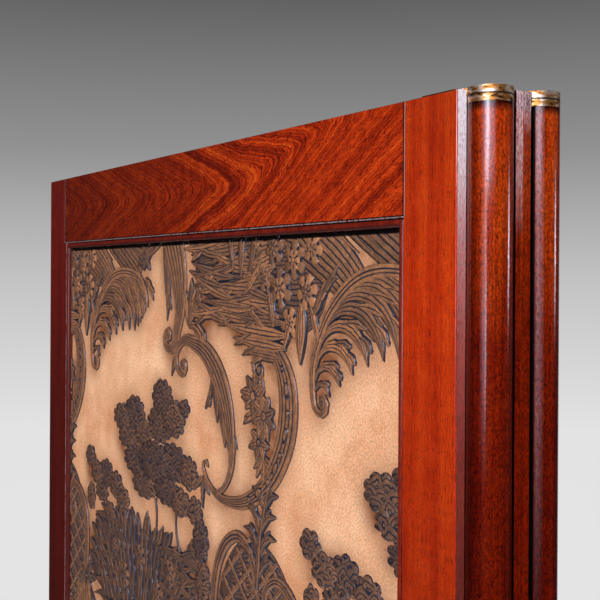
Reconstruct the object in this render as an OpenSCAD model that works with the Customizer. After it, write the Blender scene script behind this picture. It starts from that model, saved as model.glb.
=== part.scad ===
// Four-leaf folding screen: mahogany frames round embossed leather panels,
// hinged edge to edge with full-height knuckle joints that turn on brass pivots.
// The screen is drawn folded. X runs across a leaf, Y through the stack, Z up.
// The origin is the middle of the folded stack, on the floor.

/* [Leaf] */
// Width of one leaf over its two stiles
leaf_w = 610; // [420:5:800]
// Height of one leaf
leaf_h = 1830; // [1200:10:2200]
// Thickness of the wooden frame
leaf_t = 15.4; // [15:0.1:18]
// Space between two folded leaves
leaf_gap = 0.5; // [0.4:0.1:1]
// Radius of the eased outer edges
edge_r = 1; // [0.4:0.1:1.4]

/* [Frame] */
// Width of each stile
stile_w = 42; // [38:0.5:70]
// Height of the top rail
top_rail_h = 60; // [44:1:120]
// Height of the bottom rail
bottom_rail_h = 92; // [50:1:180]
// Height of the bottom rail's lower edge above the floor
rail_lift = 3; // [0:1:30]
// Length of the tenons on the rails
tenon_l = 22; // [12:1:23]
// Thickness of the tenons
tenon_t = 5; // [4:0.5:6]
// Shoulder of a tenon on the side of the panel
tenon_shoulder = 7; // [3:1:12]
// Wood left between the end of a screw and the tenon
tenon_cover = 4; // [2:0.5:8]
// Space left round a tenon for glue
glue_gap = 0.1; // [0.05:0.05:0.3]

/* [Panel] */
// Depth of the leather's ground below the front of the frame
leather_depth = 5.6; // [4:0.1:6.5]
// Thickness of the leather
leather_t = 1.6; // [1:0.1:2.2]
// Thickness of the board behind the leather
board_t = 4.4; // [3:0.1:4.6]
// Thickness of the cloth lining on the back
lining_t = 0.6; // [0.3:0.1:1]
// Space left round the panel inside the frame
panel_fit = 0.25; // [0.1:0.05:0.3]

/* [Beads] */
// Width of the bead round the leather
bead_w = 6.4; // [4:0.1:12]
// Width of the flat step between the frame and the bead's round
bead_step_w = 1.3; // [0.6:0.1:2]
// Drop from the bead's crown to that step
bead_step_drop = 0.5; // [0.2:0.1:1]
// Width of the bead round the lining
back_bead_w = 8; // [5:0.5:14]
// Depth of both beads' crowns below the face of the frame
bead_set = 0.7; // [0.2:0.1:1.5]
// Opening of the mitre joints at the corners
mitre_gap = 0.06; // [0.04:0.01:0.3]

/* [Knuckle joint] */
// Radius of the round nose on a hinge line
nose_r = 11.4; // [10:0.1:12]
// Distance of the hinge axis beyond the edge of the leaf
axis_out = 7.1; // [6.2:0.1:7.6]
// Thickness of the fillet that closes the joint when it lies open
fillet_t = 4.9; // [3.6:0.1:5.4]
// Space between fillet and lip when the joint lies open
open_gap = 0.5; // [0.3:0.1:1.5]
// Space between the nose and its cove
cove_gap = 0.4; // [0.3:0.1:0.8]
// Width of the quirk, the groove between the nose and its fillet
quirk_w = 1.6; // [0.8:0.1:2]
// Depth of the quirk below the fillet's face
quirk_depth = 4.5; // [3:0.1:6]

/* [Brass pivots] */
// Thickness of each brass plate
plate_t = 3.8; // [2.5:0.1:5]
// Space between the two plates of a pivot
plate_gap = 0.2; // [0.1:0.1:0.6]
// Height that the top plates stand above the wood
plate_proud = 1; // [0:0.1:2]
// Height of the bottom plates above the floor
foot_gap = 1; // [0.5:0.1:3]
// Space between a plate and the wood that turns round it
plate_fit = 0.5; // [0.3:0.1:0.8]
// Reach of a plate's strap over the end of its stile
strap_l = 34; // [30:1:37]
// Width of a strap
strap_w = 10; // [8:0.5:11]
// Set of the neck's corner behind the edge of the leaf
neck_set = 0.5; // [0.2:0.1:1]
// Radius of the pivot pins
pin_r = 2.5; // [1.5:0.1:4]
// Space between a pin and the plate that turns on it
pin_play = 0.05; // [0.02:0.01:0.1]
// Length of a pin inside the wood of the nose
pin_hold = 16; // [8:1:40]

/* [Screws] */
// Radius of the screws in the straps
screw_r = 1.7; // [1:0.1:2.2]
// Radius of their countersunk heads
screw_head_r = 3.2; // [2.6:0.1:3.8]
// Height by which a head is taller than a cone of 45 degrees
head_extra = 0.5; // [0:0.1:1]
// Length of a screw
screw_l = 16; // [12:1:20]
// Width of the slot in a screw's head
slot_w = 0.8; // [0.5:0.1:1.2]
// Distance from the leaf's edge to the outer screw of a strap
screw_inset = 10; // [9:0.5:13]
// Distance between the two screws of a strap
screw_pitch = 17; // [12:0.5:18]

/* [Hidden] */
leaves = 4;
pitch = leaf_t + leaf_gap;
stack_t = leaves * pitch - leaf_gap;
open_w = leaf_w - 2 * stile_w;
panel_bottom = rail_lift + bottom_rail_h;
panel_top = leaf_h - top_rail_h;
open_h = panel_top - panel_bottom;
axis_to_face = leaf_gap / 2;
axis_to_mid = axis_to_face + leaf_t / 2;
axis_to_far = axis_to_face + leaf_t;
pair_t = 2 * plate_t + plate_gap;
lining_depth = leather_depth + leather_t + board_t + lining_t;
screw_cone_h = screw_head_r - screw_r + head_extra;
tenon_end = screw_l + tenon_cover;
fillet_face = axis_out - open_gap;
strap_overlap = 0.3;
strap_root = -nose_r - plate_fit - strap_overlap;
clear_cut = 5;
cut_past = 1;
fine = 96;
small = 32;
wood = [0.55, 0.17, 0.08];
dark_wood = [0.40, 0.10, 0.05];
brass = [0.78, 0.60, 0.28];
tan_leather = [0.80, 0.58, 0.42];
board_tone = [0.72, 0.60, 0.44];
lining_tone = [0.42, 0.14, 0.10];

// Hinge h joins leaf h to leaf h + 1. The middle hinge is on the left edges.
hinges = [1, 2, 3];
function hinge_side(h) = h == 2 ? -1 : 1;
// The two middle leaves carry the noses of the right-hand hinges, and leaf 3 that of the left-hand one
function nose_leaf(h) = h == 1 ? 2 : 3;
function cove_leaf(h) = h == 1 ? 1 : h == 2 ? 2 : 4;
function leaf_low_y(k) = (k - 1) * pitch - stack_t / 2;
function axis_y(h) = leaf_low_y(h) + leaf_t + leaf_gap / 2;
// Hinge on the left or the right edge of a leaf, and 0 where the edge is free
function edge_hinge(k, side) = side < 0 ? (k == 2 || k == 3 ? 2 : 0) : (k < 3 ? 1 : 3);
function leaf_hinges(k) = [for (h = hinges) if (nose_leaf(h) == k || cove_leaf(h) == k) h];

wood_nodes = ["left_stile", "right_stile", "top_rail", "bottom_rail", "front_beads", "back_beads"];
panel_nodes = ["board", "leather", "lining", "screws"];
hinge_nodes = ["top_cove_plate", "top_nose_plate", "bottom_cove_plate", "bottom_nose_plate", "pins"];

// Placing

module flip_x(on) {
    if (on) mirror([1, 0, 0]) children();
    else children();
}

module flip_y(on) {
    if (on) mirror([0, 1, 0]) children();
    else children();
}

// Leaf frame: X across, Y from the front face (0) to the back face, Z up.
// The fronts of leaves 1 and 3 look towards -Y, those of leaves 2 and 4 towards +Y.
module in_leaf(k) {
    back_to_front = k % 2 == 0;
    translate([0, leaf_low_y(k) + (back_to_front ? leaf_t : 0), 0])
        flip_y(back_to_front) children();
}

// Hinge frame: the axis is Z, the leaf lies at -X and on the +Y side of the axis
module at_hinge(h, leaf) {
    translate([hinge_side(h) * (leaf_w / 2 + axis_out), axis_y(h), 0])
        flip_x(hinge_side(h) < 0) flip_y(leaf == h) children();
}

// End frame: Z is the depth below the outer face of the plates, at the top or the bottom
module at_top() {
    translate([0, 0, leaf_h + plate_proud]) mirror([0, 0, 1]) children();
}

module at_bottom() {
    translate([0, 0, foot_gap]) children();
}

module at_both_ends() {
    at_top() children();
    at_bottom() children();
}

// Profiles

// Rectangle from the origin with the corners on its far X side eased
module eased_end(l, w, r) {
    square([l - r, w]);
    translate([0, r]) square([l, w - 2 * r]);
    for (y = [r, w - r]) translate([l - r, y]) circle(r, $fn = small);
}

// Section of a rail: its outer edge is eased front and back, Y2 up
module rail_section(h) {
    rotate(90) mirror([0, 1]) eased_end(h, leaf_t, edge_r);
}

// Block as thick and high as a leaf, eased along its top and bottom edges, from x0 to x1
module leaf_block(x0, x1) {
    translate([x0, 0, 0]) rotate([90, 0, 90]) linear_extrude(x1 - x0) {
        translate([0, leaf_h / 2]) rail_section(leaf_h / 2);
        translate([0, leaf_h / 2]) mirror([0, 1]) rail_section(leaf_h / 2);
    }
}

// Plan of the cove: a stile hollowed round the hinge axis, which leaves a thin lip at the face
module cove_plan() {
    difference() {
        translate([-axis_out - stile_w, axis_to_face]) eased_end(stile_w, leaf_t, edge_r);
        circle(nose_r + cove_gap, $fn = fine);
    }
}

// Plan of the flat part behind the nose: the stile, run on to the axis, and the fillet
module nose_back_plan() {
    translate([-axis_out - stile_w, axis_to_face]) square([stile_w + axis_out, leaf_t]);
    translate([-axis_out, axis_to_far - fillet_t]) square([axis_out + fillet_face, fillet_t]);
}

// Plan of the quirk between the nose and the fillet
module quirk_plan() {
    translate([fillet_face - quirk_depth, axis_to_far - fillet_t - quirk_w])
        square([quirk_depth + nose_r, quirk_w]);
}

// Plan of a strap, without the disc
module strap_plan() {
    end = -axis_out - strap_l + strap_w / 2;
    translate([end, axis_to_mid - strap_w / 2]) square([strap_root - end, strap_w]);
    translate([end, axis_to_mid]) circle(strap_w / 2, $fn = small);
}

// Plan of a whole plate: disc, neck and strap
module plate_plan() {
    neck_x = axis_out - neck_set;
    circle(nose_r, $fn = fine);
    polygon([[strap_root, axis_to_mid - strap_w / 2], [0, 0],
        [-neck_x, sqrt(nose_r * nose_r - neck_x * neck_x)], [strap_root, axis_to_mid + strap_w / 2]]);
    strap_plan();
}

// Places of the screws along a strap, in the hinge frame
module at_screws() {
    for (x = [screw_inset, screw_inset + screw_pitch])
        translate([-axis_out - x, axis_to_mid, 0]) children();
}

// Frame

module mortise(z0, z1) {
    translate([-axis_out - stile_w - cut_past, axis_to_mid - tenon_t / 2 - glue_gap, z0 - glue_gap])
        cube([tenon_l + cut_past + glue_gap, tenon_t + 2 * glue_gap, z1 - z0 + 2 * glue_gap]);
}

module both_mortises() {
    mortise(panel_top + tenon_shoulder, leaf_h - tenon_end);
    mortise(rail_lift + tenon_end, panel_bottom - tenon_shoulder);
}

module screw_holes(depth) {
    at_both_ends() at_screws() cylinder(r = screw_r, h = depth, $fn = small);
}

module cove_stile(h, leaf) {
    color(wood) at_hinge(h, leaf) difference() {
        intersection() {
            linear_extrude(leaf_h) cove_plan();
            translate([0, axis_to_face, 0]) leaf_block(-axis_out - stile_w - cut_past, cut_past);
        }
        both_mortises();
        at_both_ends() translate([0, 0, -clear_cut]) linear_extrude(plate_t + clear_cut) plate_plan();
        screw_holes(screw_l);
    }
}

module nose_stile(h, leaf) {
    color(wood) at_hinge(h, leaf) difference() {
        union() {
            intersection() {
                linear_extrude(leaf_h) nose_back_plan();
                translate([0, axis_to_face, 0]) leaf_block(-axis_out - stile_w - cut_past, 2 * nose_r);
            }
            cylinder(r = nose_r, h = leaf_h, $fn = fine);
        }
        both_mortises();
        translate([0, 0, -cut_past]) linear_extrude(leaf_h + 2 * cut_past) quirk_plan();
        at_both_ends() {
            translate([0, 0, -clear_cut])
                cylinder(r = nose_r + plate_fit, h = pair_t + clear_cut, $fn = fine);
            translate([0, 0, -clear_cut]) linear_extrude(pair_t + clear_cut) plate_plan();
            cylinder(r = pin_r, h = pair_t + pin_hold, $fn = small);
        }
        screw_holes(screw_l);
    }
}

// Stile on a free edge, drawn for the right side of a leaf
module plain_stile(k, side) {
    color(wood) in_leaf(k) flip_x(side < 0) difference() {
        intersection() {
            linear_extrude(leaf_h)
                translate([leaf_w / 2 - stile_w, 0]) eased_end(stile_w, leaf_t, edge_r);
            leaf_block(leaf_w / 2 - stile_w - cut_past, leaf_w / 2 + cut_past);
        }
        translate([leaf_w / 2 + axis_out, -axis_to_face, 0]) both_mortises();
    }
}

module stile(k, side) {
    h = edge_hinge(k, side);
    if (h == 0) plain_stile(k, side);
    else if (nose_leaf(h) == k) nose_stile(h, k);
    else cove_stile(h, k);
}

// Tenons at both ends of a rail, from z0 to z1
module tenons(z0, z1) {
    translate([-open_w / 2 - tenon_l, (leaf_t - tenon_t) / 2, z0])
        cube([open_w + 2 * tenon_l, tenon_t, z1 - z0]);
}

module top_rail(k) {
    color(wood) in_leaf(k) {
        translate([-open_w / 2, 0, panel_top])
            rotate([90, 0, 90]) linear_extrude(open_w) rail_section(top_rail_h);
        tenons(panel_top + tenon_shoulder, leaf_h - tenon_end);
    }
}

module bottom_rail(k) {
    color(wood) in_leaf(k) {
        translate([-open_w / 2, 0, panel_bottom])
            rotate([90, 0, 90]) linear_extrude(open_w) mirror([0, 1]) rail_section(bottom_rail_h);
        tenons(rail_lift + tenon_end, panel_bottom - tenon_shoulder);
    }
}

// Panel

module sheet_in_frame(depth, t) {
    translate([-open_w / 2 + panel_fit, depth, panel_bottom + panel_fit])
        cube([open_w - 2 * panel_fit, t, open_h - 2 * panel_fit]);
}

module leather(k) {
    color(tan_leather) in_leaf(k) sheet_in_frame(leather_depth, leather_t);
}

module board(k) {
    color(board_tone) in_leaf(k) sheet_in_frame(leather_depth + leather_t, board_t);
}

module lining(k) {
    color(lining_tone) in_leaf(k) sheet_in_frame(lining_depth - lining_t, lining_t);
}

// Beads

// Section of the front bead: X2 is its height above the leather, Y2 runs from the frame inwards, negative
module front_bead_section() {
    crown = leather_depth - bead_set;
    round_r = min((bead_w - bead_step_w) / 2, crown);
    mirror([0, 1]) {
        square([crown - bead_step_drop, bead_step_w]);
        translate([0, bead_step_w]) square([crown - round_r, bead_w - bead_step_w]);
        intersection() {
            translate([crown - round_r, (bead_w + bead_step_w) / 2]) circle(round_r, $fn = small);
            square([crown, bead_w]);
        }
    }
}

// Section of the back bead: a flat strip with its inner edge rounded
module back_bead_section() {
    crown = leaf_t - bead_set - lining_depth;
    mirror([0, 1]) {
        square([crown, back_bead_w - crown]);
        intersection() {
            translate([0, back_bead_w - crown]) circle(crown, $fn = small);
            square([crown, back_bead_w]);
        }
    }
}

// Strip of length l along X with mitred ends: a section in X2 (towards +Y) and Y2 (down)
module mitred_strip(l, w) {
    intersection() {
        translate([-l / 2, 0, 0]) rotate([90, 0, 90]) linear_extrude(l) children();
        translate([0, leaf_t, 0]) rotate([90, 0, 0]) linear_extrude(2 * leaf_t)
            polygon([[mitre_gap - l / 2, 0], [l / 2 - mitre_gap, 0],
                [l / 2 - w - mitre_gap, -w], [w + mitre_gap - l / 2, -w]]);
    }
}

// Four strips round the panel, each with its back at y = 0
module bead_ring(w) {
    mid_z = (panel_bottom + panel_top) / 2;
    translate([0, 0, panel_top]) mitred_strip(open_w, w) children();
    translate([0, 0, panel_bottom]) rotate([0, 180, 0]) mitred_strip(open_w, w) children();
    for (side = [-1, 1]) translate([side * open_w / 2, 0, mid_z])
        rotate([0, side * 90, 0]) mitred_strip(open_h, w) children();
}

module front_beads(k) {
    color(dark_wood) in_leaf(k) translate([0, leather_depth, 0]) mirror([0, 1, 0])
        bead_ring(bead_w) front_bead_section();
}

module back_beads(k) {
    color(dark_wood) in_leaf(k) translate([0, lining_depth, 0])
        bead_ring(back_bead_w) back_bead_section();
}

// Brass

// Holes for the screws: the cone of the head is run on upwards to cut clear of the plate
module countersinks() {
    cone_slope = (screw_head_r - screw_r) / screw_cone_h;
    at_screws() {
        cylinder(r = screw_r, h = pair_t + cut_past, $fn = small);
        translate([0, 0, -cut_past]) cylinder(r1 = screw_head_r + cone_slope * cut_past, r2 = screw_r,
            h = screw_cone_h + cut_past, $fn = small);
    }
}

// Plate screwed to the coved leaf: it turns on the pin
module cove_plate() {
    color(brass) difference() {
        linear_extrude(plate_t) plate_plan();
        translate([0, 0, -cut_past])
            cylinder(r = pin_r + pin_play, h = plate_t + 2 * cut_past, $fn = small);
        countersinks();
    }
}

// Plate screwed to the leaf with the nose: the disc lies under the other plate, and the
// strap is stepped up to finish level with it
module nose_plate() {
    color(brass) difference() {
        union() {
            translate([0, 0, plate_t + plate_gap]) linear_extrude(plate_t) plate_plan();
            linear_extrude(pair_t) strap_plan();
        }
        cylinder(r = pin_r, h = pair_t + cut_past, $fn = small);
        countersinks();
    }
}

module pins(h) {
    color(brass) at_hinge(h, nose_leaf(h)) at_both_ends()
        cylinder(r = pin_r, h = pair_t + pin_hold, $fn = small);
}

module screw() {
    difference() {
        union() {
            cylinder(r = screw_r, h = screw_l, $fn = small);
            cylinder(r1 = screw_head_r, r2 = screw_r, h = screw_cone_h, $fn = small);
        }
        translate([-screw_head_r, -slot_w / 2, -cut_past])
            cube([2 * screw_head_r, slot_w, cut_past + screw_cone_h / 2]);
    }
}

module screws(k) {
    color(brass) for (h = leaf_hinges(k)) at_hinge(h, k) at_both_ends() at_screws() screw();
}

// Drawing

for (k = [1 : leaves]) {
    stile(k, -1);
    stile(k, 1);
    top_rail(k);
    bottom_rail(k);
    front_beads(k);
    back_beads(k);
    board(k);
    leather(k);
    lining(k);
    screws(k);
}

for (h = hinges) {
    at_hinge(h, cove_leaf(h)) at_top() cove_plate();
    at_hinge(h, nose_leaf(h)) at_top() nose_plate();
    at_hinge(h, cove_leaf(h)) at_bottom() cove_plate();
    at_hinge(h, nose_leaf(h)) at_bottom() nose_plate();
    pins(h);
}
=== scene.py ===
# Four-leaf folding screen: French-polished mahogany frames round embossed leather panels.
# Lengths of the object are in metres. The leather's ornament is drawn in millimetres on the panel:
# a runs to the right from the left edge of the panel, b runs down from its top edge.
import math

import bpy
import numpy as np
from mathutils import Matrix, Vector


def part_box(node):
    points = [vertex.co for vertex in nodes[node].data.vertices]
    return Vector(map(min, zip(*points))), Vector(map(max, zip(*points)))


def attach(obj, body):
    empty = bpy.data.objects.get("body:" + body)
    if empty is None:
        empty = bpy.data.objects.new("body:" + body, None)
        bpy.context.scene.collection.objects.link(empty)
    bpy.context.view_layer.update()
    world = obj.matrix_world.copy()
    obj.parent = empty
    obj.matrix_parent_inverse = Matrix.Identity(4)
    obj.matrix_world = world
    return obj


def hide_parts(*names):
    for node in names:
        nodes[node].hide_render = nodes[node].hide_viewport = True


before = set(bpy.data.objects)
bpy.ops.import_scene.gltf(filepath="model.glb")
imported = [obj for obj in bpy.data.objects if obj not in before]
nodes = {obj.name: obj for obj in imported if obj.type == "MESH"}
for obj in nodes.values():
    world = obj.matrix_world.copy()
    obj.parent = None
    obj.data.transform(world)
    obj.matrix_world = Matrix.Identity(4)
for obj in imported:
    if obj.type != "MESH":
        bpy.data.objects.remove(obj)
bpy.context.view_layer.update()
scene = bpy.context.scene
leaves = (1, 2, 3, 4)
mm = 0.001

# Places on the solids that the finishes follow
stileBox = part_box("leaf_1_right_stile")
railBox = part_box("leaf_1_top_rail")
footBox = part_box("leaf_1_bottom_rail")
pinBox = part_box("hinge_1_pins")
tenon = 22 * mm  # how far a rail reaches into each stile
edgeX = stileBox[1][0]  # flat edge of a leaf
jointX = railBox[1][0] - tenon  # joint of stile and rail
openTop = railBox[0][2]
openFoot = footBox[1][2]
railMiddle = (railBox[0][2] + railBox[1][2]) / 2
railHalf = (railBox[1][2] - railBox[0][2]) / 2
noseY = abs(pinBox[0][1] + pinBox[1][1]) / 2  # axis of the noses on the right edge


def linear(hexValue):
    # sRGB hex to linear RGBA: a straight part near black, then a power of 2.4
    parts = [int(hexValue[i:i + 2], 16) / 255 for i in (1, 3, 5)]
    return tuple(c / 12.92 if c <= 0.04045 else ((c + 0.055) / 1.055) ** 2.4 for c in parts) + (1.0,)


class Value:
    # A number or colour that nodes work out at each point; a sum on it adds a Math node
    def __init__(self, socket):
        self.socket = socket
        self.tree = socket.id_data

    def __add__(self, other):
        return maths("ADD", self, other)

    def __sub__(self, other):
        return maths("SUBTRACT", self, other)

    def __rsub__(self, other):
        return maths("SUBTRACT", other, self)

    def __mul__(self, other):
        return maths("MULTIPLY", self, other)

    def __truediv__(self, other):
        return maths("DIVIDE", self, other)

    def __abs__(self):
        return maths("ABSOLUTE", self)


def addNode(tree, kind, entries):
    # One node. Each entry is an input, linked where it is a Value and set otherwise, or a property
    node = tree.nodes.new("ShaderNode" + kind)
    for key, entry in entries.items():
        if isinstance(entry, Value):
            tree.links.new(entry.socket, node.inputs[key])
        elif isinstance(key, int) or key in node.inputs:
            node.inputs[key].default_value = entry
        else:
            setattr(node, key, entry)
    return node


def made(tree, kind, entries, output=0):
    # One output of a new node
    return Value(addNode(tree, kind, entries).outputs[output])


def maths(operation, *values):
    # One Math node on Values and numbers
    tree = next(value.tree for value in values if isinstance(value, Value))
    return made(tree, "Math", {"operation": operation, **dict(enumerate(values))})


def spread(value, low, high, toLow=0.0, toHigh=1.0):
    # Value stretched from low..high to toLow..toHigh, and held there
    return made(value.tree, "MapRange", {0: value, 1: low, 2: high, 3: toLow, 4: toHigh})


def stripe(value, low, high, soft=0.2 * mm):
    # 1 where the value lies between low and high, with soft edges outside them
    return spread(value, low - soft, low) * spread(value, high, high + soft, 1.0, 0.0)


def ramp(value, stops):
    # Colour ramp through (place, hex or grey) stops
    node = addNode(value.tree, "ValToRGB", {0: value})
    points = node.color_ramp.elements
    while len(points) < len(stops):
        points.new(0.5)
    for point, (place, tint) in zip(points, stops):
        point.position = place
        point.color = linear(tint) if isinstance(tint, str) else (tint, tint, tint, 1.0)
    return Value(node.outputs[0])


def painted(under, amount, tint, kind="MIX"):
    # Tint, a hex value or a Value, laid by an amount over the colour under it
    over = linear(tint) if isinstance(tint, str) else tint
    return made(under.tree, "Mix", {"data_type": "RGBA", "blend_type": kind, 0: amount, 6: under, 7: over}, 2)


def shaded(under, shade):
    # Colour multiplied by a shade
    return painted(under, 1.0, shade, "MULTIPLY")


def axes(place):
    # The x, y and z of a place
    return [Value(socket) for socket in addNode(place.tree, "SeparateXYZ", {0: place}).outputs]


def noise(place, size, detail=2.0, rough=0.5, shift=0.0, output=0):
    # Noise whose cells have a size in millimetres, or one for each axis and then moved by shift cells
    scale = 1.0
    if isinstance(size, tuple):
        steps = [1000 / width for width in size]
        place = made(place.tree, "Mapping", {0: place, "Location": (shift,) * 3, "Scale": steps})
    else:
        scale = 1000 / size
    entries = {"Vector": place, "Scale": scale, "Detail": detail, "Roughness": rough}
    return made(place.tree, "TexNoise", entries, output)


def countNoise(counts, detail, rough=0.5):
    # Noise of one or two numbers that count its cells
    tree = counts[0].tree
    if len(counts) == 1:
        place = {"noise_dimensions": "1D", "W": counts[0]}
    else:
        place = {"Vector": made(tree, "CombineXYZ", dict(enumerate(counts)))}
    return made(tree, "TexNoise", {**place, "Scale": 1.0, "Detail": detail, "Roughness": rough})


def bump(height, strength, distance, under=None, dent=False):
    # Normal of a relief on top of the one under it; dent turns it inwards
    entries = {"Strength": strength, "Distance": distance, "invert": dent, "Height": height}
    if under:
        entries["Normal"] = under
    return made(height.tree, "Bump", entries)


def attribute(tree, name):
    # Number that the mesh holds for each point
    return made(tree, "Attribute", {"attribute_name": name}, "Fac")


def newMaterial(name):
    # Empty material and its node tree
    material = bpy.data.materials.new(name)
    material.use_nodes = True
    material.node_tree.nodes.clear()
    return material, material.node_tree


def objectPlace(tree):
    # Where a point lies, in the object's own coordinates
    return made(tree, "TexCoord", {}, "Object")


def principled(tree, entries):
    # Principled shader joined to the material's output
    addNode(tree, "OutputMaterial", {0: made(tree, "BsdfPrincipled", entries)})


# Camera
cameraView = {
    "place": (0.6986, -0.3688, 1.7363),
    "turn": 57.933,  # degrees from +Y towards -X
    "roll": 0.313,  # degrees
    "lens": 62.42,
    "sensor": 36.0,
    "shiftY": -0.0363,
}


def makeCamera(view):
    # Level camera at the photograph's viewing angle, turned about Z and then a little about its own axis; its
    # horizon is shifted off the middle
    data = bpy.data.cameras.new("camera")
    data.lens = view["lens"]
    data.sensor_width = view["sensor"]
    data.shift_y = view["shiftY"]
    data.clip_start = 0.01
    camera = bpy.data.objects.new("camera", data)
    turn = Matrix.Rotation(math.radians(view["turn"]), 4, "Z")
    level = Matrix.Rotation(math.radians(90), 4, "X")
    roll = Matrix.Rotation(math.radians(view["roll"]), 4, "Z")
    camera.matrix_world = Matrix.Translation(view["place"]) @ turn @ level @ roll
    scene.collection.objects.link(camera)
    scene.camera = camera


makeCamera(cameraView)
print("camera placed")


# World and lights
worldLook = {
    "ambient": 0.13,
    "ambientTint": "#f4f4f6",
    # height of the direction that is looked in, and the grey of the backdrop there
    "backdrop": ((-0.26, "#e4e4e4"), (-0.14, "#e3e3e3"), (0.0, "#c2c2c2"), (0.12, "#919191"),
                 (0.26, "#616161")),
}


def makeWorld(look):
    # Backdrop that darkens upwards for the camera, gloss and glass; a plain level for the rest
    world = bpy.data.worlds.new("studio")
    scene.world = world
    world.use_nodes = True
    tree = world.node_tree
    tree.nodes.clear()
    height = axes(made(tree, "TexCoord", {}, "Generated"))[2]
    low, high = look["backdrop"][0][0], look["backdrop"][-1][0]
    stops = [((h - low) / (high - low), tint) for h, tint in look["backdrop"]]
    shade = ramp(spread(height, low, high), stops)
    path = addNode(tree, "LightPath", {})
    rays = [Value(path.outputs[f"Is {ray} Ray"]) for ray in ("Camera", "Glossy", "Transmission")]
    seen = maths("MAXIMUM", maths("MAXIMUM", rays[0], rays[1]), rays[2])
    plain = made(tree, "Background", {"Color": linear(look["ambientTint"]), "Strength": look["ambient"]})
    back = made(tree, "Background", {"Color": shade, "Strength": 1.0})
    addNode(tree, "OutputWorld", {0: made(tree, "MixShader", {0: seen, 1: plain, 2: back})})


makeWorld(worldLook)

lampLook = {
    # name: place, what it faces, width and height, watts
    "key lamp": ((3.60, -3.80, 3.10), (0.0, 0.0, 1.30), 2.8, 400.0),
    "side lamp": ((2.6, 1.5, 2.5), (0.2, 0.0, 1.3), 1.4, 8.0),
    "back lamp": ((-1.5, 2.6, 2.5), (0.0, 0.0, 1.1), 1.8, 110.0),
}


def facing(place, target):
    # Matrix that puts a thing at place with its -Z axis towards the target
    away = np.subtract(place, target)
    away = away / np.linalg.norm(away)
    side = np.cross((0, 0, 1), away)
    side = side / np.linalg.norm(side)
    turn = Matrix([list(row) for row in np.column_stack([side, np.cross(away, side), away])])
    return Matrix.Translation(place) @ turn.to_4x4()


def makeLamps(lamps):
    # Soft square lamps that give the plain light level
    for name, (place, target, size, watts) in lamps.items():
        data = bpy.data.lights.new(name, "AREA")
        data.shape = "SQUARE"
        data.size = size
        data.energy = watts
        lamp = bpy.data.objects.new(name, data)
        lamp.matrix_world = facing(place, target)
        lamp.visible_camera = False
        lamp.visible_glossy = False
        scene.collection.objects.link(lamp)


makeLamps(lampLook)


def meshObject(name, points, quads):
    # Mesh from arrays of points (n, 3) and quads (m, 4)
    mesh = bpy.data.meshes.new(name)
    mesh.vertices.add(len(points))
    mesh.vertices.foreach_set("co", np.asarray(points, np.float32).ravel())
    mesh.loops.add(quads.size)
    mesh.loops.foreach_set("vertex_index", quads.astype(np.int32).ravel())
    mesh.polygons.add(len(quads))
    mesh.polygons.foreach_set("loop_start", np.arange(0, quads.size, 4, dtype=np.int32))
    mesh.polygons.foreach_set("use_smooth", np.ones(len(quads), bool))
    mesh.update(calc_edges=True)
    thing = bpy.data.objects.new(name, mesh)
    scene.collection.objects.link(thing)
    return thing


def gridQuads(corner):
    # Quads between the neighbours of a grid of point numbers
    return np.stack([corner[:-1, :-1], corner[1:, :-1], corner[1:, 1:], corner[:-1, 1:]], -1).reshape(-1, 4)


def numberGrid(rows, columns):
    # Point numbers of a grid, row by row
    return np.arange(rows * columns).reshape(rows, columns)


def gridObject(name, points, inward=False):
    # One open surface from a (rows, columns, 3) array
    quads = gridQuads(numberGrid(*points.shape[:2]))
    return meshObject(name, points.reshape(-1, 3), quads[:, ::-1] if inward else quads)


def setAttribute(thing, name, values):
    # Named number for every point of the mesh
    layer = thing.data.attributes.new(name, "FLOAT", "POINT")
    layer.data.foreach_set("value", np.asarray(values, np.float32).ravel())


# Cards that only the gloss sees, each an upright piece of a cylinder round the hinge edge of the screen.
# Bearing and width are degrees, from +X towards +Y. Levels are its brightness at some heights, and sides the
# share of it at some places across
cardTint = "#e4e9ff"
cardGrid = (61, 49)  # points across and up
cardLook = {
    "wide card": {
        "bearing": -52.0, "reach": 1.5, "width": 76.0,
        "levels": ((1.88, 0.0), (1.92, 5.0), (1.95, 26.0), (2.6, 32.0), (2.9, 0.0)),
        "sides": ((0.0, 0.0), (0.2, 0.1), (0.32, 0.5), (0.41, 1.0), (0.49, 0.95), (0.57, 0.42), (0.66, 0.24),
                  (0.84, 0.14), (1.0, 0.0)),
    },
    "window card": {
        "bearing": -74.0, "reach": 1.6, "width": 32.0,
        "levels": ((1.36, 0.0), (1.46, 2.0), (1.54, 5.0), (1.66, 9.0), (1.76, 5.0), (1.90, 6.0), (1.94, 2.0),
                   (1.97, 0.0)),
        "sides": ((0.0, 0.0), (0.4, 0.3), (0.7, 0.55), (0.82, 0.9), (0.86, 1.6), (0.94, 1.6), (1.0, 0.0)),
    },
    "strip card": {
        "bearing": 63.0, "reach": 1.4, "width": 14.0,
        "levels": ((1.60, 0.0), (1.66, 2.0), (1.72, 11.0), (1.80, 22.0), (1.86, 14.0), (1.92, 3.0),
                   (1.97, 0.0)),
        "sides": ((0.0, 0.0), (0.15, 0.12), (0.3, 0.5), (0.45, 0.97), (0.5, 1.0), (0.55, 0.97), (0.7, 0.5),
                  (0.85, 0.12), (1.0, 0.0)),
    },
    "dark surround": {
        "bearing": -65.0, "reach": 2.4, "width": 344.0,
        "levels": ((-0.4, 0.02), (4.4, 0.02)), "sides": ((0.0, 1.0), (1.0, 1.0)),
    },
}


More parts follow.
